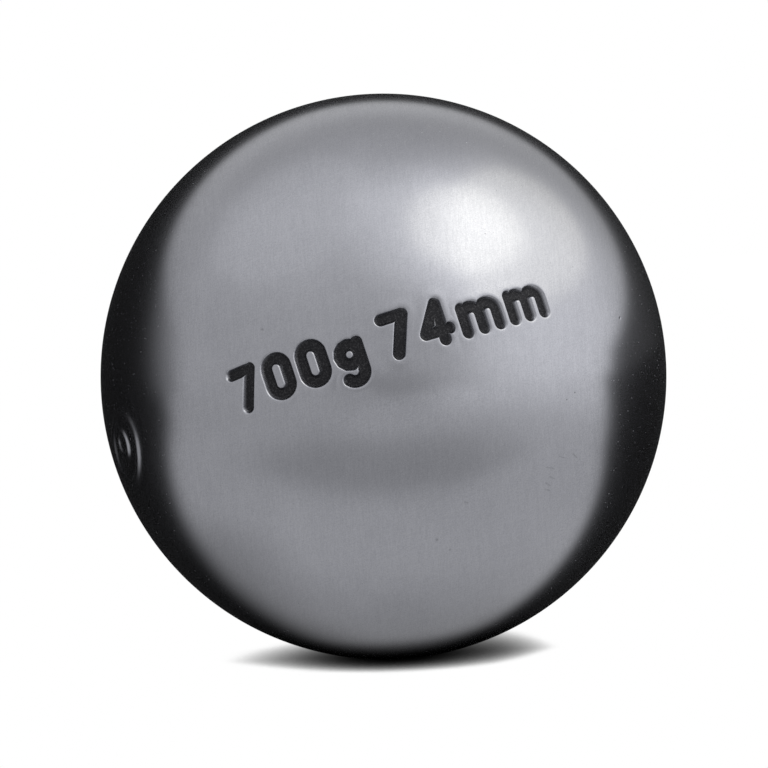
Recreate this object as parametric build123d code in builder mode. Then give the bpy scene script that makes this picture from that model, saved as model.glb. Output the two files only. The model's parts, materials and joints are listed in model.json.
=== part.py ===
"""Petanque boule: a hollow ball of stainless steel.

Two forged half shells meet on a register lip at the ball's equator. A weld bead fills the
groove that their bevelled rims leave outside, and the welded ball is turned to one sphere.

The origin is the ball's centre. The equator lies in the XZ plane, so +Y is the axis of every
piece: the front shell is the half towards -Y and the rear shell the half towards +Y.
"""

import os
from math import radians, tan

from build123d import *

# Driving dimensions, in millimetres and degrees
BALL_DIAMETER = 74.0  # over the finished ball
WALL = 6.16  # forged wall, which brings the ball to its rated 700 g
ROOT_FACE = 1.5  # flat ring where the two rims butt, measured along the radius
GROOVE_ANGLE = 60.0  # between the two sides of the weld groove
GROOVE_FLOOR = 1.0  # flat at the bottom of the weld groove
LIP_THICKNESS = 1.3  # register lip of the rear shell
LIP_LENGTH = 2.2  # how far the lip reaches into the front shell
LIP_LEAD_IN = 0.4  # chamfer that guides the lip into its socket
LIP_CLEARANCE = 0.05  # round the lip
LIP_END_GAP = 0.3  # ahead of the lip, so that the rims butt first

# Radii that follow from them
BALL_RADIUS = BALL_DIAMETER / 2
CAVITY_RADIUS = BALL_RADIUS - WALL
LIP_RADIUS = CAVITY_RADIUS + LIP_THICKNESS
SOCKET_RADIUS = LIP_RADIUS + LIP_CLEARANCE
FLOOR_RADIUS = SOCKET_RADIUS + ROOT_FACE

# The groove is drawn past the ball's surface, so that its sides cross the surface cleanly
MOUTH_RADIUS = BALL_RADIUS + ROOT_FACE
MOUTH_WIDTH = GROOVE_FLOOR + 2 * (MOUTH_RADIUS - FLOOR_RADIUS) * tan(radians(GROOVE_ANGLE / 2))

# Sections lie in the XY plane: X is the distance from the axis, and Y runs along the axis

with BuildSketch(Plane.XY) as groove:
    with BuildLine():
        Polyline(
            (FLOOR_RADIUS, -GROOVE_FLOOR / 2),
            (MOUTH_RADIUS, -MOUTH_WIDTH / 2),
            (MOUTH_RADIUS, MOUTH_WIDTH / 2),
            (FLOOR_RADIUS, GROOVE_FLOOR / 2),
            close=True,
        )
    make_face()

# Front half shell: a forged bowl with a bevelled rim and a socket for the lip

with BuildPart() as front_half_shell:
    with BuildSketch(Plane.XY):
        Circle(BALL_RADIUS)
        Circle(CAVITY_RADIUS, mode=Mode.SUBTRACT)
        Rectangle(BALL_RADIUS, BALL_RADIUS, align=(Align.MIN, Align.MAX), mode=Mode.INTERSECT)
        Rectangle(
            SOCKET_RADIUS,
            LIP_LENGTH + LIP_END_GAP,
            align=(Align.MIN, Align.MAX),
            mode=Mode.SUBTRACT,
        )
        add(groove.sketch, mode=Mode.SUBTRACT)
    revolve(axis=Axis.Y)

# Rear half shell: the matching bowl, whose lip centres the two halves for welding

with BuildPart() as rear_half_shell:
    with BuildSketch(Plane.XY):
        Circle(BALL_RADIUS)
        Circle(CAVITY_RADIUS, mode=Mode.SUBTRACT)
        Rectangle(BALL_RADIUS, BALL_RADIUS, align=(Align.MIN, Align.MIN), mode=Mode.INTERSECT)
        with Locations((CAVITY_RADIUS, 0)):
            Rectangle(LIP_THICKNESS, LIP_LENGTH, align=(Align.MIN, Align.MAX))
        add(groove.sketch, mode=Mode.SUBTRACT)
    revolve(axis=Axis.Y)
    lip_end = rear_half_shell.faces().filter_by(GeomType.PLANE).sort_by(Axis.Y)[0]
    chamfer(lip_end.edges().sort_by(SortBy.LENGTH)[-1], LIP_LEAD_IN)

# Weld bead: fills the groove all the way round, and is turned flush with the ball

with BuildPart() as weld_bead:
    with BuildSketch(Plane.XY):
        add(groove.sketch)
        Circle(BALL_RADIUS, mode=Mode.INTERSECT)
    revolve(axis=Axis.Y)

os.makedirs("parts", exist_ok=True)
for name, piece in (
    ("front_half_shell", front_half_shell),
    ("rear_half_shell", rear_half_shell),
    ("weld_bead", weld_bead),
):
    piece.part.label = name
    export_step(piece.part, f"parts/{name}.step")
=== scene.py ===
import json
from math import acos, cos, dist, hypot, pi, radians, sin, tan

import bmesh
import bpy
import numpy as np
from mathutils import Matrix, Vector


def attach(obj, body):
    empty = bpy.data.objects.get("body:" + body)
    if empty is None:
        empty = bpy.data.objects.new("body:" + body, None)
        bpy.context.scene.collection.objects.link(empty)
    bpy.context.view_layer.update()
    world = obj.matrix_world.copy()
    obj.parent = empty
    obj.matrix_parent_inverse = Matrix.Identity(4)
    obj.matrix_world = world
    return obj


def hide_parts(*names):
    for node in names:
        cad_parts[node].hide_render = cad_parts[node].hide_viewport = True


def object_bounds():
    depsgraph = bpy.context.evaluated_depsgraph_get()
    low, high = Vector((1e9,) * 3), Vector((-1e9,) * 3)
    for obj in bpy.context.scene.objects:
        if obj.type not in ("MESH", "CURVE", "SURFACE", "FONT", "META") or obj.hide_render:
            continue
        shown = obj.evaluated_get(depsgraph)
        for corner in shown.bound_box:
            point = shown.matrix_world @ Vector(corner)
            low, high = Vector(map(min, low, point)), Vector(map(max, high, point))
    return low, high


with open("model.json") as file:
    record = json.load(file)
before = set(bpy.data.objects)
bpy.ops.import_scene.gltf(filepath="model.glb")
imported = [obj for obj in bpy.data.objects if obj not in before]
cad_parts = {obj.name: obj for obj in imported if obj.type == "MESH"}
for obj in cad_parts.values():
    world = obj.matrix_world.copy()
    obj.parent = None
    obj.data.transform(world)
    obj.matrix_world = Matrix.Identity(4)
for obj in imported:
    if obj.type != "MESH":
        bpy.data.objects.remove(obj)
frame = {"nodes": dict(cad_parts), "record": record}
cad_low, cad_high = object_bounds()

# Front half shell
# A bowl forged from stainless steel, its rim turned to a bevel for the weld and bored as a socket for
# the other half's lip. It is struck with the ball's weight and diameter and with one oval seat for a
# player's mark, and the whole skin is ground and brushed after welding.

MM = 0.001
HAIR = 0.02 * MM
BALL_RADIUS = (cad_high.y - cad_low.y) / 2
SKIN_RINGS = 48
RIM_POINTS = 6 * SKIN_RINGS


def turned_rim(node):
    """Corners of a half shell's rim as (radius, place along Y), from the groove in to the cavity."""
    corners = [(hypot(v.co.x, v.co.z), v.co.y) for v in frame["nodes"][node].data.vertices]
    spans = [hypot(*corner) for corner in corners]
    skin, cavity = max(spans) - HAIR, min(spans) + HAIR
    groove_edge = max(corner for corner, span in zip(corners, spans) if span > skin)
    cavity_edge = max(corner for corner, span in zip(corners, spans) if span < cavity)
    between = [corner for corner, span in zip(corners, spans) if cavity <= span <= skin]
    rim = [groove_edge]
    while between:
        rim.append(min(between, key=lambda corner: dist(corner, rim[-1])))
        between = [corner for corner in between if dist(corner, rim[-1]) > HAIR]
    return rim + [cavity_edge]


def circle(radius, y, count):
    """Evenly spaced points round the ball's axis."""
    return [(radius * cos(a), y, radius * sin(a)) for a in 2 * pi * np.arange(count) / count]


def band(first, next_first):
    """Faces between two circles of as many points as a rim has."""
    turns = [(i, (i + 1) % RIM_POINTS) for i in range(RIM_POINTS)]
    return [(first + i, first + j, next_first + j, next_first + i) for i, j in turns]


def domed(radius, turn, pole):
    """Points and triangles of a cap of a sphere, in circles from its pole to its rim."""
    points, faces = [(0, pole * radius, 0)], []
    start = 0
    for k in range(1, SKIN_RINGS + 1):
        inner, outer = max(6 * (k - 1), 1), 6 * k
        next_start = len(points)
        angle = turn * k / SKIN_RINGS
        points += circle(radius * sin(angle), pole * radius * cos(angle), outer)
        for sixth in range(6):
            for i in range(k):
                near = start + (sixth * (k - 1) + i) % inner
                after = start + (sixth * (k - 1) + i + 1) % inner
                far = next_start + sixth * k + i
                beyond = next_start + (sixth * k + i + 1) % outer
                faces.append((near, far, beyond))
                if i < k - 1:
                    faces.append((near, beyond, after))
        start = next_start
    return np.array(points), np.array(faces)


# The struck figures: single strokes with round ends, in millimetres from the foot of the line

STROKE_WIDTH = 1.65
CAP_RISE = 4.7
SMALL_RISE = 3.1
FIGURE_GAP = 0.5
WORD_GAP = 1.6
ARC_STEPS = 12


def arc(x, y, radius, start, end):
    """Points along part of a circle, by angles in degrees."""
    angles = np.radians(np.linspace(start, end, ARC_STEPS + 1))
    return [(x + radius * cos(a), y + radius * sin(a)) for a in angles]


def seven():
    width = 2.7
    return width, [[(0, CAP_RISE), (width, CAP_RISE), (width / 3, 0)]]


def four():
    width, stem, bar = 3.1, 2.2, 1.25
    return width, [[(stem, 0), (stem, CAP_RISE), (0, bar), (width, bar)]]


def nought():
    side = 1.3
    foot, head = arc(side, side, side, 180, 360), arc(side, CAP_RISE - side, side, 0, 180)
    return 2 * side, [foot + head + foot[:1]]


def small_g():
    side, foot, hook_end = 1.25, 0.35, -140
    ring = arc(side, SMALL_RISE - side, side, 0, 360)
    hook = arc(side, -foot, side, 0, hook_end)
    return 2 * side, [ring, [(2 * side, SMALL_RISE)] + hook]


def small_m():
    arch = 1.12
    shoulder = SMALL_RISE - arch
    strokes = [[(0, 0), (0, SMALL_RISE)]]
    for stem in (0, 2 * arch):
        bow = arc(stem + arch, shoulder, arch, 180, 0)
        strokes.append([(stem, shoulder)] + bow + [(stem + 2 * arch, 0)])
    return 4 * arch, strokes


FIGURES = {"7": seven, "4": four, "0": nought, "g": small_g, "m": small_m}


def struck_line(words):
    """Every straight piece of the strokes as (from, to), with the middle of the line at the origin."""
    pieces = []
    reach = 0
    for figure in words:
        if figure == " ":
            reach += WORD_GAP
            continue
        width, strokes = FIGURES[figure]()
        for stroke in strokes:
            corners = np.array(stroke) + (reach, 0)
            pieces += list(zip(corners[:-1], corners[1:]))
        reach += width + STROKE_WIDTH + FIGURE_GAP
    middle = ((reach - STROKE_WIDTH - FIGURE_GAP) / 2, CAP_RISE / 2)
    return np.array(pieces) - middle


rated_grams = round(1000 * frame["record"]["physics"]["mass_kg"])
rated_diameter = round(2 * BALL_RADIUS / MM)
STROKES = struck_line(f"{rated_grams}g {rated_diameter}mm")
SEARCH_MARGIN = BALL_RADIUS / MM / 8

# Where the marks lie on the skin, and how deep they are, in degrees and millimetres


def from_centre(azimuth, elevation):
    """Unit vector by degrees to the right of the front and above the horizon."""
    a, e = radians(azimuth), radians(elevation)
    return np.array((sin(a) * cos(e), -cos(a) * cos(e), sin(e)))


LINE_AT = from_centre(1.4, 12.4)
LINE_SLOPE = radians(15.4)
STAMP_DEPTH = 0.55
STAMP_WALL = 0.5
WALL_INSIDE = 0.84
LIP_RISE = 0.035
LIP_REACH = 0.35
SEAT_AT = from_centre(-67.5, -10.7)
SEAT_SLOPE = radians(44)
SEAT_LONG = 5.3
SEAT_SHORT = 3.8
SEAT_RADIUS = (SEAT_LONG + SEAT_SHORT) / 2
SEAT_DEPTH = 0.2
SEAT_WALL = 1.2
SEAT_BURR = (0.24, 0.25)
BURR_WIDTH = 0.8
BEAD_AT = from_centre(-67.8, -9.3)
BEAD_RADIUS = 1.6
BEAD_WIDTH = 0.6
BEAD_RISE = 0.32
PITS_AT = ((56.7, 12.1), (40.0, -1.1), (37.9, -2.3), (-24.3, 14.5), (10.2, -29.0), (13.4, -31.7))
DASHES_AT = ((35.5, -17.6), (34.7, -18.9), (34.8, -20.1), (34.6, -15.5))
DASHES_AT += ((37.4, -13.6), (40.8, -13.6), (16.0, -21.0))
DASH_LENGTHS = (0.4, 1.3)
DASH_SLOPES = (-40, -10)
DASH_STEPS = 8
DASH_RADIUS = 0.08
REAR_NICKS = 14
REAR_AZIMUTHS = (100, 260)
REAR_ELEVATIONS = (-50, 50)
NICK_SEED = 74
NICK_RADII = (0.1, 0.2)
NICK_DEPTH = 0.3

rng = np.random.default_rng(NICK_SEED)
rear_azimuths = rng.uniform(*REAR_AZIMUTHS, REAR_NICKS)
rear_elevations = rng.uniform(*REAR_ELEVATIONS, REAR_NICKS)
pits = list(PITS_AT) + list(zip(rear_azimuths, rear_elevations))
nick_radii = list(rng.uniform(*NICK_RADII, len(pits)))
for azimuth, elevation in DASHES_AT:
    slope = radians(rng.uniform(*DASH_SLOPES))
    length = rng.uniform(*DASH_LENGTHS) * MM
    for step in np.degrees(np.linspace(-0.5, 0.5, DASH_STEPS) * length / BALL_RADIUS):
        pits.append((azimuth + step * cos(slope), elevation + step * sin(slope)))
        nick_radii.append(DASH_RADIUS)
nick_ways = np.array([from_centre(*pit) for pit in pits])
nick_radii = np.array(nick_radii)


def on_ball(ways, centre, slope=0.0):
    """Millimetres across and up the skin from a mark's centre, measured round the ball."""
    level = np.cross((0, 0, 1), centre)
    level /= np.linalg.norm(level)
    rise = np.cross(centre, level)
    across, up = cos(slope) * level + sin(slope) * rise, cos(slope) * rise - sin(slope) * level
    angle = np.arccos(np.clip(ways @ centre, -1, 1))
    stretch = BALL_RADIUS / MM * angle / np.maximum(np.sin(angle), 1e-9)
    return np.stack([ways @ across, ways @ up], 1) * stretch[:, None]


def smooth(low, high, x):
    """Eases from 0 to 1 between two values."""
    t = np.clip((x - low) / (high - low), 0, 1)
    return t * t * (3 - 2 * t)


def off_strokes(ways):
    """Millimetres from the edge of the nearest stroke, less than nought inside it."""
    places = on_ball(ways, LINE_AT, LINE_SLOPE)
    reach = abs(STROKES).max(axis=(0, 1)) + SEARCH_MARGIN
    near = np.all(abs(places) < reach, axis=1) & (ways @ LINE_AT > 0)
    places = places[near]
    best = np.full(len(places), 2 * BALL_RADIUS / MM)
    for start, end in STROKES:
        run = end - start
        offset = places - start
        share = np.clip(offset @ run / (run @ run), 0, 1)
        best = np.minimum(best, np.hypot(*(offset - share[:, None] * run).T))
    distance = np.full(len(ways), 2 * BALL_RADIUS / MM)
    distance[near] = best
    return distance - STROKE_WIDTH / 2


def off_seat(ways):
    """Millimetres from the middle of the oval seat, evened out to those of a round one."""
    along, over = on_ball(ways, SEAT_AT, SEAT_SLOPE).T
    return SEAT_RADIUS * np.hypot(along / SEAT_LONG, over / SEAT_SHORT)


def off_bead(ways):
    """Millimetres from the middle of the round bead inside the seat."""
    return np.hypot(*on_ball(ways, BEAD_AT).T)


def burr_rise(ways):
    """Height of the burr round the seat, which the punch threw up more on the right."""
    to_right = on_ball(ways, SEAT_AT)[:, 0] / SEAT_RADIUS
    return SEAT_BURR[0] + (SEAT_BURR[1] - SEAT_BURR[0]) * smooth(-1, 1, to_right)


def off_nicks(ways):
    """Distance from each nick's middle, as a share of that nick's radius."""
    chord = np.arccos(np.clip(ways @ nick_ways.T, -1, 1)) * BALL_RADIUS / MM
    return chord / nick_radii


def relief(ways):
    """Millimetres by which the skin stands above a true ball."""
    strokes, seat = off_strokes(ways), off_seat(ways)
    wall = (-WALL_INSIDE * STAMP_WALL, (1 - WALL_INSIDE) * STAMP_WALL)
    height = -STAMP_DEPTH * (1 - smooth(*wall, strokes))
    height -= SEAT_DEPTH * (1 - smooth(SEAT_RADIUS - SEAT_WALL, SEAT_RADIUS, seat))
    height += BEAD_RISE * np.exp(-(((off_bead(ways) - BEAD_RADIUS) / BEAD_WIDTH) ** 2))
    height += burr_rise(ways) * np.exp(-(((seat - SEAT_RADIUS) / BURR_WIDTH) ** 2))
    lip = np.clip(strokes, 0, None) / LIP_REACH
    height += LIP_RISE * lip * np.exp(1 - lip)
    height -= (NICK_DEPTH * nick_radii * np.exp(-2 * off_nicks(ways) ** 2)).sum(axis=1)
    return height


FINEST = 0.11
COARSENING = 0.33
SPLITS = 6


def wanted(ways):
    """Length of edge, in millimetres, that the marks need at each place."""
    near = abs(off_strokes(ways))
    near = np.minimum(near, abs(off_seat(ways) - SEAT_RADIUS))
    near = np.minimum(near, abs(off_bead(ways) - BEAD_RADIUS))
    near = np.minimum(near, (off_nicks(ways) * nick_radii).min(axis=1))
    return FINEST + COARSENING * np.clip(near - STAMP_WALL, 0, None)


def refined(points, faces):
    """Splits the skin's edges at their middles until they are as short as the marks need."""
    rim_start = len(points) - RIM_POINTS
    rim_end = len(points)
    for _ in range(SPLITS):
        pairs = np.sort(np.concatenate([faces[:, [0, 1]], faces[:, [1, 2]], faces[:, [2, 0]]]), axis=1)
        edges, place = np.unique(pairs, axis=0, return_inverse=True)
        place = place.reshape(3, -1).T
        middles = points[edges].sum(axis=1)
        middles /= np.linalg.norm(middles, axis=1)[:, None]
        lengths = np.linalg.norm(points[edges[:, 0]] - points[edges[:, 1]], axis=1)
        at_rim = np.all((edges >= rim_start) & (edges < rim_end), axis=1)
        long = (lengths > wanted(middles) * MM) & ~at_rim
        number = np.full(len(edges), -1)
        number[long] = len(points) + np.arange(long.sum())
        points = np.concatenate([points, middles[long] * BALL_RADIUS])
        split = []
        for (a, b, c), (ab, bc, ca) in zip(faces.tolist(), number[place].tolist()):
            cuts = (ab >= 0) + (bc >= 0) + (ca >= 0)
            while cuts == 1 and ab < 0 or cuts == 2 and ca >= 0:
                a, b, c, ab, bc, ca = b, c, a, bc, ca, ab
            if cuts == 0:
                split.append((a, b, c))
            elif cuts == 1:
                split += [(a, ab, c), (ab, b, c)]
            elif cuts == 2:
                split += [(ab, b, bc), (a, ab, bc), (a, bc, c)]
            else:
                split += [(a, ab, ca), (ab, b, bc), (ca, bc, c), (ab, bc, ca)]
        faces = np.array(split)
    return points, faces


SLOPE_STEP = 0.01
NEARLY_UP = (1e-6, 1e-6, 1)


def sculpted(ways):
    """Points of the finished skin and its normals."""
    side = np.cross(ways, NEARLY_UP)
    side /= np.linalg.norm(side, axis=1)[:, None]
    slopes = []
    for way in (side, np.cross(side, ways)):
        ahead = ways + way * SLOPE_STEP * MM / BALL_RADIUS
        behind = ways - way * SLOPE_STEP * MM / BALL_RADIUS
        slopes.append((relief(ahead) - relief(behind))[:, None] / (2 * SLOPE_STEP) * way)
    normals = ways - slopes[0] - slopes[1]
    normals /= np.linalg.norm(normals, axis=1)[:, None]
    return ways * (BALL_RADIUS + relief(ways) * MM)[:, None], normals


OXIDE_EDGE = (-0.36, -0.08)
NICK_DARKENING = 0.3
SHARP_EDGE = radians(30)


def half_shell(name, node, pole):
    """A closed half shell: its marked skin, its turned rim and its cavity."""
    rim = turned_rim(node)
    points, skin_faces = domed(BALL_RADIUS, acos(abs(rim[0][1]) / BALL_RADIUS), pole)
    skin_rim = len(points) - RIM_POINTS
    points, skin_faces = refined(points, skin_faces)
    ways = points / np.linalg.norm(points, axis=1)[:, None]
    points, normals = sculpted(ways)
    faces = skin_faces.tolist()
    shell_points = points.tolist()
    last = skin_rim
    for radius, y in rim[1:-1]:
        start = len(shell_points)
        shell_points += circle(radius, y, RIM_POINTS)
        faces += band(last, start)
        last = start
    cavity = hypot(*rim[-1])
    cavity_points, cavity_faces = domed(cavity, acos(abs(rim[-1][1]) / cavity), pole)
    start = len(shell_points)
    shell_points += cavity_points.tolist()
    faces += band(last, len(shell_points) - RIM_POINTS)
    faces += (cavity_faces + start).tolist()
    mesh = bpy.data.meshes.new(name)
    mesh.from_pydata(shell_points, [], faces)
    closed = bmesh.new()
    closed.from_mesh(mesh)
    bmesh.ops.recalc_face_normals(closed, faces=closed.faces)
    closed.to_mesh(mesh)
    closed.free()
    corners = np.zeros(len(mesh.loops), dtype=int)
    mesh.loops.foreach_get("vertex_index", corners)
    skin_corners = corners[:skin_faces.size]
    corner_normals = np.zeros((len(corners), 3))
    corner_normals[:skin_faces.size] = normals[skin_corners]
    mesh.shade_smooth()
    mesh.set_sharp_from_angle(angle=SHARP_EDGE)
    mesh.normals_split_custom_set(corner_normals)
    oxide_and_dark_nicks = np.zeros(len(shell_points), dtype=np.float32)
    # The nicks are coloured darker as well, part of the way towards the struck strokes' black.
    nick_darkening = NICK_DARKENING * np.exp(-off_nicks(ways) ** 2).max(axis=1)
    oxide_and_dark_nicks[:len(ways)] = np.maximum(1 - smooth(*OXIDE_EDGE, off_strokes(ways)), nick_darkening)
    mesh.attributes.new("oxide_and_dark_nicks", "FLOAT", "POINT").data.foreach_set("value", oxide_and_dark_nicks)
    shell = bpy.data.objects.new(name, mesh)
    bpy.context.scene.collection.objects.link(shell)
    return shell


def add(tree, kind, inputs, **settings):
    """A node with its inputs set or linked, by name or by number."""
    made = tree.nodes.new(kind)
    for name, value in settings.items():
        setattr(made, name, value)
    for name, value in inputs.items():
        if isinstance(value, bpy.types.NodeSocket):
            tree.links.new(value, made.inputs[name])
        else:
            made.inputs[name].default_value = value
    return made


def sums(tree, operation, a, b):
    """The result of one piece of arithmetic on two values."""
    return add(tree, "ShaderNodeMath", {0: a, 1: b}, operation=operation).outputs[0]


def ease(tree, value, low, high, start=0.0, end=1.0):
    """Eases from start to end as a value goes from low to high."""
    inputs = {"Value": value, 1: low, 2: high, 3: start, 4: end}
    return add(tree, "ShaderNodeMapRange", inputs, interpolation_type="SMOOTHSTEP").outputs[0]


def grain(tree, lengths, tilt=0.0, detail=2.0):
    """Noise drawn out along the object's axes to the given lengths in millimetres, tilted about Y."""
    where = add(tree, "ShaderNodeTexCoord", {}).outputs["Object"]
    scale = [length * MM for length in lengths]
    sized = {"Vector": where, "Rotation": (0, radians(tilt), 0), "Scale": scale}
    stretched = add(tree, "ShaderNodeMapping", sized, vector_type="TEXTURE").outputs[0]
    noise = {"Vector": stretched, "Scale": 1.0, "Detail": detail}
    return add(tree, "ShaderNodeTexNoise", noise).outputs["Fac"]


def blend(tree, share, first, second):
    """A colour between two others."""
    colours = {"Factor": share, 6: first, 7: second}
    return add(tree, "ShaderNodeMix", colours, data_type="RGBA").outputs[2]


STEEL_LIGHT = (0.305, 0.309, 0.336, 1)
STEEL_DARK = (0.245, 0.249, 0.273, 1)
OXIDE = (0.018, 0.018, 0.020, 1)
OXIDE_GREY = (0.045, 0.045, 0.048, 1)
CROSS_LINES = (2.5, 2.5, 0.14)
GRIT = (0.17, 0.17, 0.17)
CLOUDS = (7.0, 7.0, 7.0)
DUST = (0.3, 0.3, 0.3)
SOOT_SPECKS = (0.2, 0.2, 0.2)
LINES_TILT = 2
TRACKS_TILT = -3
CROSS_TILT = -20
LINES_SHARE = 0.22
CROSS_SHARE = 0.12
TRACKS_SHARE = 0.1
CLOUDS_SHARE = 0.16
GRIT_SHARE = 0.4
TONE_RANGE = (0.32, 0.68)
DUST_RANGE = (0.74, 0.8)
SPECKS_RANGE = (0.45, 0.75)
ROUGHNESS = (0.23, 0.19)
OXIDE_ROUGHNESS = 0.3
DUST_ROUGHNESS = 0.35
SPECKS_HEIGHT = 3.0
BRUSH_DEPTH = 0.0016 * MM
BRUSH_PULL = 0.25


def brushed_steel(name, fine, broad):
    """Steel brushed in lines as long and wide as the given grains, oxidised black where struck and darker
    in the nicks.
    """
    material = bpy.data.materials.new(name)
    material.use_nodes = True
    tree = material.node_tree
    shader = tree.nodes["Principled BSDF"]
    lines = grain(tree, fine, tilt=LINES_TILT)
    tracks = grain(tree, broad, tilt=TRACKS_TILT)
    crossed = grain(tree, CROSS_LINES, tilt=CROSS_TILT)
    grit = grain(tree, GRIT, detail=1.0)
    clouds = grain(tree, CLOUDS, detail=4.0)
    tone = sums(tree, "MULTIPLY", grit, GRIT_SHARE)
    for marks, share in (
        (lines, LINES_SHARE),
        (crossed, CROSS_SHARE),
        (tracks, TRACKS_SHARE),
        (clouds, CLOUDS_SHARE),
    ):
        tone = sums(tree, "ADD", tone, sums(tree, "MULTIPLY", marks, share))
    tone = ease(tree, tone, *TONE_RANGE)
    oxide_and_dark_nicks = add(tree, "ShaderNodeAttribute", {}, attribute_name="oxide_and_dark_nicks").outputs["Fac"]
    dust = ease(tree, grain(tree, DUST, detail=1.0), *DUST_RANGE)
    specks = ease(tree, grain(tree, SOOT_SPECKS, detail=3.0), *SPECKS_RANGE)
    steel = blend(tree, tone, STEEL_DARK, STEEL_LIGHT)
    soot = blend(tree, specks, OXIDE, OXIDE_GREY)
    dull = ease(tree, tone, 0.0, 1.0, *ROUGHNESS)
    dull = sums(tree, "ADD", dull, sums(tree, "MULTIPLY", oxide_and_dark_nicks, OXIDE_ROUGHNESS))
    dull = sums(tree, "ADD", dull, sums(tree, "MULTIPLY", dust, DUST_ROUGHNESS))
    scale = sums(tree, "MULTIPLY", specks, sums(tree, "MULTIPLY", oxide_and_dark_nicks, SPECKS_HEIGHT))
    heights = sums(tree, "ADD", sums(tree, "ADD", lines, grit), scale)
    bump = add(tree, "ShaderNodeBump", {"Height": heights, "Distance": BRUSH_DEPTH, "Strength": 1.0})
    tree.links.new(blend(tree, oxide_and_dark_nicks, steel, soot), shader.inputs["Base Color"])
    tree.links.new(dull, shader.inputs["Roughness"])
    tree.links.new(bump.outputs[0], shader.inputs["Normal"])
    shader.inputs["Metallic"].default_value = 1.0
    shader.inputs["Anisotropic"].default_value = BRUSH_PULL
    return material


SHELL_LINES = (0.16, 1.6, 1.6)
SHELL_TRACKS = (0.5, 8.0, 8.0)
shell_steel = brushed_steel("shell_steel", SHELL_LINES, SHELL_TRACKS)

front_shell = half_shell("front_shell", "front_half_shell", -1)
front_shell.data.materials.append(shell_steel)
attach(front_shell, "root")
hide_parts("front_half_shell")

# Rear half shell
# The matching bowl of the same steel, with a lip turned on its rim that centres it in the front half.
# It carries no stamp: only the brushing and a few nicks from handling.

rear_shell = half_shell("rear_shell", "rear_half_shell", 1)
rear_shell.data.materials.append(shell_steel)
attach(rear_shell, "root")
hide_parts("rear_half_shell")

# Weld bead
# Weld metal run into the groove between the two bevels all the way round, then turned flush with the
# ball. The turning leaves lines that run with the seam, under the brushing.

FLUSH_ROWS = 8
WELD_SHARP_EDGE = radians(20)

front_bevel = turned_rim("front_half_shell")[:3]
rear_bevel = turned_rim("rear_half_shell")[:3]
mouth = acos(abs(front_bevel[0][1]) / BALL_RADIUS)
section = []
for row in range(FLUSH_ROWS + 1):
    turn = mouth + (pi - 2 * mouth) * row / FLUSH_ROWS
    section.append((BALL_RADIUS * sin(turn), -BALL_RADIUS * cos(turn)))
section += rear_bevel[1:] + front_bevel[:0:-1]

weld_points, weld_faces = [], []
for row, (radius, y) in enumerate(section):
    weld_points += circle(radius, y, RIM_POINTS)
    weld_faces += band(row * RIM_POINTS, (row + 1) % len(section) * RIM_POINTS)
weld_mesh = bpy.data.meshes.new("weld_ring")
weld_mesh.from_pydata(weld_points, [], weld_faces)
closed_ring = bmesh.new()
closed_ring.from_mesh(weld_mesh)
bmesh.ops.recalc_face_normals(closed_ring, faces=closed_ring.faces)
closed_ring.to_mesh(weld_mesh)
closed_ring.free()
weld_mesh.shade_smooth()
weld_mesh.set_sharp_from_angle(angle=WELD_SHARP_EDGE)
weld_ring = bpy.data.objects.new("weld_ring", weld_mesh)
bpy.context.scene.collection.objects.link(weld_ring)

TURNED_LINES = (6.0, 0.14, 6.0)
TURNED_TRACKS = (0.5, 8.0, 8.0)
weld_mesh.materials.append(brushed_steel("weld_steel", TURNED_LINES, TURNED_TRACKS))
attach(weld_ring, "root")
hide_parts("weld_bead")

# Studio
# White paper under the ball and a white tent round it, with one dark opening behind. A softbox with a
# brighter middle stands high on the right and a weaker one high on the left. The camera sees only white.

studio = bpy.context.scene
studio.view_settings.view_transform = "Standard"

CAMERA_RISE = 5
back = Vector(from_centre(0, CAMERA_RISE))

# A clear sheet with a hole stands round the ball, square to the camera's way of looking. The steel sees
# the dark only through it, so the back mirrors white. Fine teeth behind its hole let the dark fade out.

SHEET_BEHIND = 1 * MM
SHEET_HOLE = BALL_RADIUS + 0.4 * MM
SHEET_REACH = 3.0
SHEET_SIDES = 24
SHEET_LEAN = radians(CAMERA_RISE)
SHEET_FOOT = (SHEET_BEHIND - BALL_RADIUS * sin(SHEET_LEAN)) / cos(SHEET_LEAN)
COLLAR_REACH = 40 * MM
COLLAR_OVERLAP = 1 * MM
TEETH = 2880
TOOTH_BEHIND = 11 * MM
TOOTH_TIP = BALL_RADIUS - 1.2 * MM

corners = []
panes = []


def sheet_corner(radius, behind, turn):
    """Adds a corner of the sheet and gives its number."""
    corners.append((radius * cos(turn), radius * sin(turn), -behind))
    return len(corners) - 1


def sheet_ring(sides, inner, outer, toothed):
    """Adds panes all the way round, each with a tooth behind it if they are toothed."""
    step = 2 * pi / sides
    for side in range(sides):
        turns = (side * step, (side + 1) * step)
        near = [sheet_corner(inner, SHEET_BEHIND, turn) for turn in turns]
        far = [sheet_corner(outer, SHEET_BEHIND, turn) for turn in turns]
        panes.append((near[0], far[0], far[1], near[1]))
        if toothed:
            panes.append((*near, sheet_corner(TOOTH_TIP, TOOTH_BEHIND, (side + 0.5) * step)))


sheet_ring(TEETH, SHEET_HOLE, COLLAR_REACH, toothed=True)
sheet_ring(SHEET_SIDES, COLLAR_REACH - COLLAR_OVERLAP, SHEET_REACH, toothed=False)
sheet_mesh = bpy.data.meshes.new("clear_sheet")
sheet_mesh.from_pydata(corners, [], panes)
sheet = bpy.data.objects.new("clear_sheet", sheet_mesh)
sheet.rotation_euler = back.to_track_quat("Z", "Y").to_euler()
sheet.visible_camera = False
sheet.visible_diffuse = False
sheet.visible_shadow = False
studio.collection.objects.link(sheet)

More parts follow.
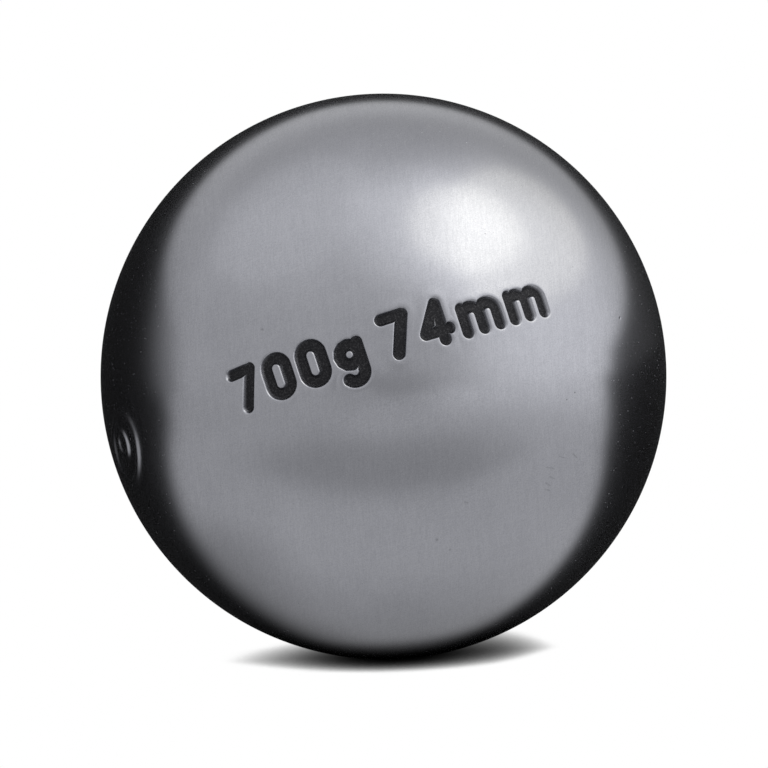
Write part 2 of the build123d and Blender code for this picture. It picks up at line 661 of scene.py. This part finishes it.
clear = bpy.data.materials.new("clear_sheet")
clear.use_nodes = True
tree = clear.node_tree
tree.nodes.clear()
pane = add(tree, "ShaderNodeBsdfTransparent", {"Color": (1, 1, 1, 1)})
add(tree, "ShaderNodeOutputMaterial", {"Surface": pane.outputs[0]})
sheet_mesh.materials.append(clear)


def through_sheet():
    """Whether the steel looks through the sheet, as 0 or 1."""
    panes_passed = add(tree, "ShaderNodeLightPath", {}).outputs["Transparent Depth"]
    return sums(tree, "MINIMUM", panes_passed, 1.0)


def times(value, *others):
    """Several values multiplied together."""
    for other in others:
        value = sums(tree, "MULTIPLY", value, other)
    return value


# The floor is paper that glows white. The ball's foot darkens it by how much of the sky the ball hides.

FLOOR_HALF = 0.8
floor_corners = [(-1, -1), (1, -1), (1, 1), (-1, 1)]
floor_points = [(x * FLOOR_HALF, y * FLOOR_HALF, -BALL_RADIUS) for x, y in floor_corners]
floor_mesh = bpy.data.meshes.new("floor")
floor_mesh.from_pydata(floor_points, [], [(0, 1, 2, 3)])
floor = bpy.data.objects.new("floor", floor_mesh)
studio.collection.objects.link(floor)

SKY_REACH = 1.0
SKY_SAMPLES = 64
CONTACT_ALONG = (-16 * MM, 3 * MM, 5.6, 2.7)
CONTACT_MIDDLE = (-5 * MM, 15 * MM, 1.0, 0.8)
CONTACT_RIGHT = (12 * MM, 26 * MM, 1.0, 1.5)
CONTACT_POWER = 2.5

paper = bpy.data.materials.new("white_paper")
paper.use_nodes = True
paper.cycles.emission_sampling = "NONE"
tree = paper.node_tree
tree.nodes.clear()
spot = add(tree, "ShaderNodeTexCoord", {}).outputs["Object"]
across, ahead, _ = add(tree, "ShaderNodeSeparateXYZ", {"Vector": spot}).outputs
aside = sums(tree, "ABSOLUTE", across, 0.0)
shelter = add(tree, "ShaderNodeAmbientOcclusion", {"Distance": SKY_REACH}, samples=SKY_SAMPLES)
open_sky = shelter.outputs["AO"]
gain = ease(tree, ahead, *CONTACT_ALONG)
gain = times(gain, ease(tree, across, *CONTACT_MIDDLE), ease(tree, across, *CONTACT_RIGHT))
contact = sums(tree, "POWER", times(open_sky, gain), CONTACT_POWER)
contact = sums(tree, "MINIMUM", contact, 1.0)

# The steel sees the paper end behind the ball, along an edge that bends back at both sides
# Near the ball the edge comes forward, because the ball's shadow is painted there on the paper as dark.

TENT_WHITE = 0.95
OPENING_DARK = 0.012
EDGE_AHEAD = -10.5 * MM
SHADOW_BEND = 12 * MM
SHADOW_BEND_HALF = 48 * MM
EDGE_RIGHT = 100 * MM
EDGE_RIGHT_SLOPE = 0.17
EDGE_LEFT = -230 * MM
EDGE_LEFT_SLOPE = 0.15
EDGE_SOFTNESS = (-40 * MM, 40 * MM, 13 * MM, 5 * MM)
EDGE_SPREAD = 0.12
EDGE_RANGE = (-1.0, 0.6)
FADE_LENGTH = 14 * MM
FADE_SPREAD = 0.2

square = times(across, across)
edge = times(sums(tree, "DIVIDE", square, sums(tree, "ADD", square, SHADOW_BEND_HALF**2)), SHADOW_BEND)
past_right = sums(tree, "MAXIMUM", sums(tree, "SUBTRACT", across, EDGE_RIGHT), 0.0)
past_left = sums(tree, "MAXIMUM", sums(tree, "SUBTRACT", EDGE_LEFT, across), 0.0)
edge = sums(tree, "ADD", edge, times(past_right, EDGE_RIGHT_SLOPE))
edge = sums(tree, "ADD", edge, times(past_left, EDGE_LEFT_SLOPE))
edge = sums(tree, "SUBTRACT", sums(tree, "SUBTRACT", ahead, edge), EDGE_AHEAD)
softness = sums(tree, "MAXIMUM", ease(tree, across, *EDGE_SOFTNESS), times(aside, EDGE_SPREAD))
dim = ease(tree, sums(tree, "DIVIDE", edge, softness), *EDGE_RANGE)
fade = sums(tree, "ADD", times(aside, FADE_SPREAD), FADE_LENGTH)
fade = sums(tree, "DIVIDE", sums(tree, "SUBTRACT", ahead, SHEET_FOOT), fade)
fade = times(ease(tree, fade, 0.0, 1.0), sums(tree, "SUBTRACT", 1.0, through_sheet()))
dim = times(dim, sums(tree, "SUBTRACT", 1.0, fade))
lit = ease(tree, dim, 0.0, 1.0, TENT_WHITE, OPENING_DARK)

# Painted shades on the paper at the ball's foot, beside its left, across the front and on the left; a
# painted glow on the right

HIDDEN_SKY = (0.15, 0.7, 0.6, 1.0)
LEEWARD_AT = (-32 * MM, -8 * MM, -BALL_RADIUS)
LEEWARD_SHADE = (5 * MM, 32 * MM, 0.6, 1.0)
FRONT_START = (-170 * MM, -90 * MM)
FRONT_END = (-72 * MM, -52 * MM, 1.0, 0.0)
FRONT_SHADE = (25 * MM, 110 * MM, 0.29, 0.0)
RIGHT_GLOW = (40 * MM, 300 * MM, 1.0, 1.5)
LEFT_SHADE = (-70 * MM, -15 * MM, 0.92, 1.0)

leeward = add(tree, "ShaderNodeVectorMath", {0: spot, 1: LEEWARD_AT}, operation="DISTANCE")
leeward = leeward.outputs["Value"]
front = times(ease(tree, ahead, *FRONT_START), ease(tree, ahead, *FRONT_END))
front = times(front, ease(tree, aside, *FRONT_SHADE))
lit = times(lit, ease(tree, open_sky, *HIDDEN_SKY), ease(tree, leeward, *LEEWARD_SHADE))
lit = times(lit, sums(tree, "SUBTRACT", 1.0, front))
lit = times(lit, ease(tree, across, *RIGHT_GLOW), ease(tree, across, *LEFT_SHADE))
seen = add(tree, "ShaderNodeLightPath", {}).outputs["Is Camera Ray"]
lit = sums(tree, "MAXIMUM", lit, seen)
glow = add(tree, "ShaderNodeEmission", {"Strength": times(contact, lit)})
add(tree, "ShaderNodeOutputMaterial", {"Surface": glow.outputs[0]})
floor_mesh.materials.append(paper)

# The tent is the world. Its opening lies past planes through the ball's centre, each with a soft edge.

OPENING_TOP = (-0.22, 0.495, -1)
OPENING_SHOULDER = (-0.045, 0.352, -1)
OPENING_RIGHT = (-1, tan(radians(75.5)), 0)
OPENING_LEFT = (1, tan(radians(85.5)), -6)
TOP_SOFTNESS = 0.03
RIGHT_SOFTNESS = 0.06
LEFT_SOFTNESS = 0.3
DARK_TO_RIGHT = (0.2, 0.95, OPENING_DARK, 8 * OPENING_DARK)
ROOF_GLOW = (0.3, 0.95, 0.0, 0.25)
REAR_SHADE = (0.0, 0.6, 1.0, 0.7)
SIDE_GLOW_AT = from_centre(80, 26)
SIDE_GLOW = (0.5, 0.97, 0.0, 0.82)
HIGH_GLOW_AT = from_centre(45, 62)
HIGH_GLOW = (0.8, 1.0, 0.0, 0.55)
HEM_GLOW = (-0.4, -0.14, 0.0, 0.2)
HEM_BEHIND = (0.2, 0.6)
HEM_TO_RIGHT = (0.0, 0.5, 1.0, 0.3)
LENS_SHADE = (-0.99, -0.9, 0.35, 0.0)
LENS_TOP = (0.04, 0.14, 1.0, 0.0)

tent = bpy.data.worlds.new("tent")
studio.world = tent
tent.use_nodes = True
tent.cycles.sampling_method = "NONE"
tree = tent.node_tree
tree.nodes.clear()
looking = add(tree, "ShaderNodeTexCoord", {}).outputs["Generated"]
to_right, to_rear, to_top = add(tree, "ShaderNodeSeparateXYZ", {"Vector": looking}).outputs


def towards(way):
    """How nearly a way of looking points along another."""
    aim = {0: looking, 1: np.array(way) / np.linalg.norm(way)}
    return add(tree, "ShaderNodeVectorMath", aim, operation="DOT_PRODUCT").outputs["Value"]


def past(plane, softness):
    """How far a way of looking is past a plane through the ball's centre."""
    return ease(tree, towards(plane), -softness, softness)


opening = sums(tree, "MAXIMUM", past(OPENING_TOP, TOP_SOFTNESS), past(OPENING_SHOULDER, TOP_SOFTNESS))
opening = times(opening, past(OPENING_RIGHT, RIGHT_SOFTNESS), past(OPENING_LEFT, LEFT_SOFTNESS))
opening = times(opening, through_sheet())
white = sums(tree, "ADD", TENT_WHITE, ease(tree, to_top, *ROOF_GLOW))
white = times(white, ease(tree, to_rear, *REAR_SHADE))
white = sums(tree, "ADD", white, ease(tree, towards(SIDE_GLOW_AT), *SIDE_GLOW))
white = sums(tree, "ADD", white, ease(tree, towards(HIGH_GLOW_AT), *HIGH_GLOW))
hem = times(ease(tree, towards(OPENING_TOP), *HEM_GLOW), ease(tree, to_rear, *HEM_BEHIND))
white = sums(tree, "ADD", white, times(hem, ease(tree, to_right, *HEM_TO_RIGHT)))
lens = times(ease(tree, to_rear, *LENS_SHADE), ease(tree, to_top, *LENS_TOP))
white = sums(tree, "SUBTRACT", white, lens)
white = times(white, sums(tree, "SUBTRACT", 1.0, opening))
shaded = sums(tree, "ADD", white, times(opening, ease(tree, to_right, *DARK_TO_RIGHT)))
seen = add(tree, "ShaderNodeLightPath", {}).outputs["Is Camera Ray"]
strength = sums(tree, "ADD", times(shaded, sums(tree, "SUBTRACT", 1.0, seen)), seen)
backdrop = add(tree, "ShaderNodeBackground", {"Color": (1, 1, 1, 1), "Strength": strength})
add(tree, "ShaderNodeOutputWorld", {"Surface": backdrop.outputs[0]})

LAMP_DISTANCE = 0.6
WARM = (1, 0.97, 0.78)
WHITE = (1, 1, 1)


def softbox(name, azimuth, elevation, half_width, half_height, radiance, colour):
    """An oval lamp that faces the ball's centre."""
    lamp = bpy.data.lights.new(name, "AREA")
    lamp.shape = "ELLIPSE"
    lamp.size = 2 * half_width
    lamp.size_y = 2 * half_height
    lamp.energy = radiance * pi**2 * half_width * half_height
    lamp.color = colour
    holder = bpy.data.objects.new(name, lamp)
    studio.collection.objects.link(holder)
    way = Vector(from_centre(azimuth, elevation))
    holder.location = way * LAMP_DISTANCE
    holder.rotation_euler = way.to_track_quat("Z", "Y").to_euler()


softbox("key_softbox", 86, 44, half_width=0.4, half_height=0.24, radiance=0.55, colour=WARM)
softbox("key_middle", 62, 56, half_width=0.23, half_height=0.19, radiance=0.68, colour=WARM)
softbox("fill_softbox", -75, 62, half_width=0.3, half_height=0.3, radiance=0.12, colour=WHITE)

# The camera stands a little above the ball and leans so that the floor rises to the right

CAMERA_DISTANCE = 0.6
CAMERA_LEAN = radians(2.6)
PICTURE_WIDTH = 768
BALL_IN_PICTURE = 283
BALL_OFF_MIDDLE = (-0.5, 7.5)

level = Vector((1, 0, 0))
upright = back.cross(level)
right = level * cos(CAMERA_LEAN) - upright * sin(CAMERA_LEAN)
up = upright * cos(CAMERA_LEAN) + level * sin(CAMERA_LEAN)
camera_data = bpy.data.cameras.new("camera")
half_view = tan(np.arcsin(BALL_RADIUS / CAMERA_DISTANCE))
camera_data.lens = camera_data.sensor_width * BALL_IN_PICTURE / half_view / PICTURE_WIDTH
pixel = CAMERA_DISTANCE * half_view / BALL_IN_PICTURE
place = back * CAMERA_DISTANCE - right * BALL_OFF_MIDDLE[0] * pixel - up * BALL_OFF_MIDDLE[1] * pixel
camera = bpy.data.objects.new("camera", camera_data)
camera.matrix_world = Matrix.Translation(place) @ Matrix((right, up, back)).transposed().to_4x4()
studio.collection.objects.link(camera)
studio.camera = camera
